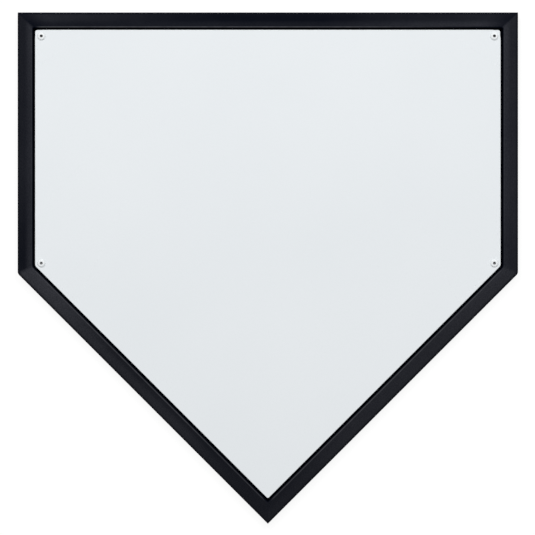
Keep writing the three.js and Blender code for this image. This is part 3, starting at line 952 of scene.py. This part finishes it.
def face_screw(name, material):
    """A button head with a chamfered hexagon socket on a threaded shank."""
    node = "face_screw_" + name
    low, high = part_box(node)
    centre = FACE_SCREWS[name]
    bm = bmesh.new()
    bare_and_shade = bm.verts.layers.float.new("bare_and_shade")
    head, land, shank = SCREW_HEAD_DIAMETER / 2, SCREW_HEAD_LAND / 2, SCREW_THREAD_DIAMETER / 2
    rim = Vector((head, SEAT_LEVEL + SCREW_HEAD_RIM))
    top = Vector((land, high.z))
    shoulder = Vector(((head + land) / 2, high.z))
    dome = []
    for k in range(DOME_STEPS + 1):
        share = k / DOME_STEPS
        dome.append(rim.lerp(shoulder, share).lerp(shoulder.lerp(top, share), share))
    thread_top = SEAT_LEVEL - SCREW_THREAD_PITCH
    rings = [polar_ring(bm, centre, low.z, round_at(shank - 2 * SCREW_END_CHAMFER))]
    for height in thread_slices(low.z + SCREW_END_CHAMFER, thread_top, SCREW_THREAD_PITCH):
        radius_at = thread_at(shank, SCREW_THREAD_DEPTH, SCREW_THREAD_PITCH, height)
        rings.append(polar_ring(bm, centre, height, radius_at))
    rings.append(polar_ring(bm, centre, SEAT_LEVEL, round_at(shank)))
    threaded = list(rings)
    rings.append(polar_ring(bm, centre, SEAT_LEVEL, round_at(head)))
    rings += [polar_ring(bm, centre, point.y, round_at(point.x)) for point in dome]
    socket = hexagon_at(SOCKET_ACROSS_FLATS)
    floor = high.z - SOCKET_DEPTH
    socket_mouth = hexagon_at(SOCKET_ACROSS_FLATS + 2 * SOCKET_CHAMFER)
    rings.append(polar_ring(bm, centre, high.z, socket_mouth))
    in_socket = [polar_ring(bm, centre, z, socket) for z in (high.z - SOCKET_CHAMFER, floor)]
    rings += in_socket
    loft(bm, rings)
    tips = [cone_cap(bm, rings[0], low.z), cone_cap(bm, rings[-1], floor - SOCKET_DRILL_TIP)]
    # The socket is painted near-black, as bare metal and as the shade deep in it; the thread too
    for vert in sum(in_socket, tips):
        vert[bare_and_shade] = SOCKET_BARE_AND_SHADE[name]
    for vert in sum(threaded, []):
        vert[bare_and_shade] = 1.0
    make_piece(node + "_turned", bm, material, [node])


def wood_screw(node, material):
    """A countersunk head with a tapered cross recess, a coarse thread and a point."""
    low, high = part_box(node)
    centre = middle_of(node)
    bm = bmesh.new()
    head, shank = WOOD_SCREW_HEAD_DIAMETER / 2, WOOD_SCREW_DIAMETER / 2
    neck = low.z + head - shank
    point_start = high.z - WOOD_SCREW_POINT
    pitch = WOOD_SCREW_THREAD_PITCH
    edge = WOOD_SCREW_HEAD_EDGE
    recess = [(CROSS_DEPTH, CROSS_TAPER), (0.0, 1.0)]
    slices = [
        (low.z + depth, cross_at(CROSS_SPAN * share, CROSS_WIDTH * share)) for depth, share in recess
    ]
    slices.append((low.z, round_at(head - edge)))
    slices.append((low.z + edge, round_at(head - edge / 2)))
    slices.append((neck, round_at(shank)))
    for height in thread_slices(neck + pitch, high.z, pitch)[:-1]:
        taper = 1 - max(0.0, height - point_start) / WOOD_SCREW_POINT
        depth = WOOD_SCREW_THREAD_DEPTH * taper
        slices.append((height, thread_at(shank * taper, depth, pitch, height)))
    rings = [polar_ring(bm, centre, height, radius_at) for height, radius_at in slices]
    loft(bm, rings)
    cone_cap(bm, rings[0], low.z + CROSS_DEPTH)
    cone_cap(bm, rings[-1], high.z)
    make_piece(node + "_turned", bm, material, [node])


def dress(node, material):
    """Gives a CAD node that is kept as it is its own material."""
    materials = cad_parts[node].data.materials
    materials.clear()
    materials.append(material)


# Camera, straight above the plate. The photograph's frame is square and its edge spans VIEW_WIDTH at the
# height of the face, and its middle lies at VIEW_CENTRE.
VIEW_WIDTH = 496.15 * MM
VIEW_CENTRE = (-0.33 * MM, 0.58 * MM)
CAMERA_RISE = 2.4
SENSOR = 36.0


def add_camera():
    data = bpy.data.cameras.new("camera")
    data.sensor_width = SENSOR
    data.lens = SENSOR * CAMERA_RISE / VIEW_WIDTH
    camera = bpy.data.objects.new("camera", data)
    camera.location = (*VIEW_CENTRE, FACE_TOP + CAMERA_RISE)
    bpy.context.scene.collection.objects.link(camera)
    bpy.context.scene.camera = camera


# Studio: a white floor, an even sky and soft lamps
FLOOR_HALF = 20.0
FLOOR_COLOUR = (0.8, 0.8, 0.8, 1)
FLOOR_SHADOW_COLOUR = (0.15, 0.15, 0.15, 1)
FLOOR_GLOW = 0.88
SKY_COLOUR = (1.0, 1.0, 1.0, 1)
SKY_STRENGTH = 0.52


def floor_material():
    """White floor: bright to the camera and in reflections, where it still takes the object's shadow."""
    material = bpy.data.materials.new("floor")
    material.use_nodes = True
    tree = material.node_tree
    tree.nodes.clear()
    output = tree.nodes.new("ShaderNodeOutputMaterial")
    path = tree.nodes.new("ShaderNodeLightPath")
    plain = tree.nodes.new("ShaderNodeBsdfDiffuse")
    plain.inputs["Color"].default_value = FLOOR_COLOUR
    shadow = tree.nodes.new("ShaderNodeBsdfDiffuse")
    shadow.inputs["Color"].default_value = FLOOR_SHADOW_COLOUR
    glow = tree.nodes.new("ShaderNodeEmission")
    glow.inputs["Strength"].default_value = FLOOR_GLOW
    bright = tree.nodes.new("ShaderNodeAddShader")
    tree.links.new(shadow.outputs[0], bright.inputs[0])
    tree.links.new(glow.outputs[0], bright.inputs[1])
    seen = path.outputs["Is Camera Ray"]
    for name in ("Is Glossy Ray", "Is Transmission Ray"):
        either = tree.nodes.new("ShaderNodeMath")
        either.operation = "MAXIMUM"
        tree.links.new(seen, either.inputs[0])
        tree.links.new(path.outputs[name], either.inputs[1])
        seen = either.outputs["Value"]
    mix = tree.nodes.new("ShaderNodeMixShader")
    tree.links.new(seen, mix.inputs["Fac"])
    tree.links.new(plain.outputs[0], mix.inputs[1])
    tree.links.new(bright.outputs[0], mix.inputs[2])
    tree.links.new(mix.outputs[0], output.inputs["Surface"])
    return material


def add_floor():
    mesh = bpy.data.meshes.new("floor")
    reach = FLOOR_HALF
    corners = [(-reach, -reach, 0), (reach, -reach, 0), (reach, reach, 0), (-reach, reach, 0)]
    mesh.from_pydata(corners, [], [(0, 1, 2, 3)])
    mesh.materials.append(floor_material())
    floor = bpy.data.objects.new("floor", mesh)
    bpy.context.scene.collection.objects.link(floor)


def add_sky():
    world = bpy.data.worlds.new("sky")
    world.use_nodes = True
    background = world.node_tree.nodes["Background"]
    background.inputs["Color"].default_value = SKY_COLOUR
    background.inputs["Strength"].default_value = SKY_STRENGTH
    bpy.context.scene.world = world


# Each lamp: where it hangs, its width and height, and its power in watts. Both point at the plate's
# middle.
LAMPS = {
    "key_left": ((-0.83, 1.8, 2.78), (0.8, 0.8), 34.2),
    "key_right": ((0.83, 1.8, 2.78), (0.8, 0.8), 30.8),
}


def add_lamps():
    for name, (place, size, power) in LAMPS.items():
        data = bpy.data.lights.new(name, "AREA")
        data.shape = "RECTANGLE"
        data.size, data.size_y = size
        data.energy = power
        lamp = bpy.data.objects.new(name, data)
        lamp.location = place
        lamp.rotation_euler = (-Vector(place)).to_track_quat("-Z", "Y").to_euler()
        bpy.context.scene.collection.objects.link(lamp)


add_camera()
add_floor()
add_sky()
add_lamps()

rubber = black_rubber()
zinc = zinc_steel()
coat = white_coat()
white_slab(white_rubber())
bevel_frame(rubber)
waffle_base(rubber)
for screw_name in FACE_SCREWS:
    face_screw(screw_name, coat)
    dress("tee_nut_" + screw_name, zinc)
for screw_node in WOOD_SCREWS:
    wood_screw(screw_node, zinc)
dress("core_board", plywood())

bpy.context.scene.view_settings.view_transform = "Standard"
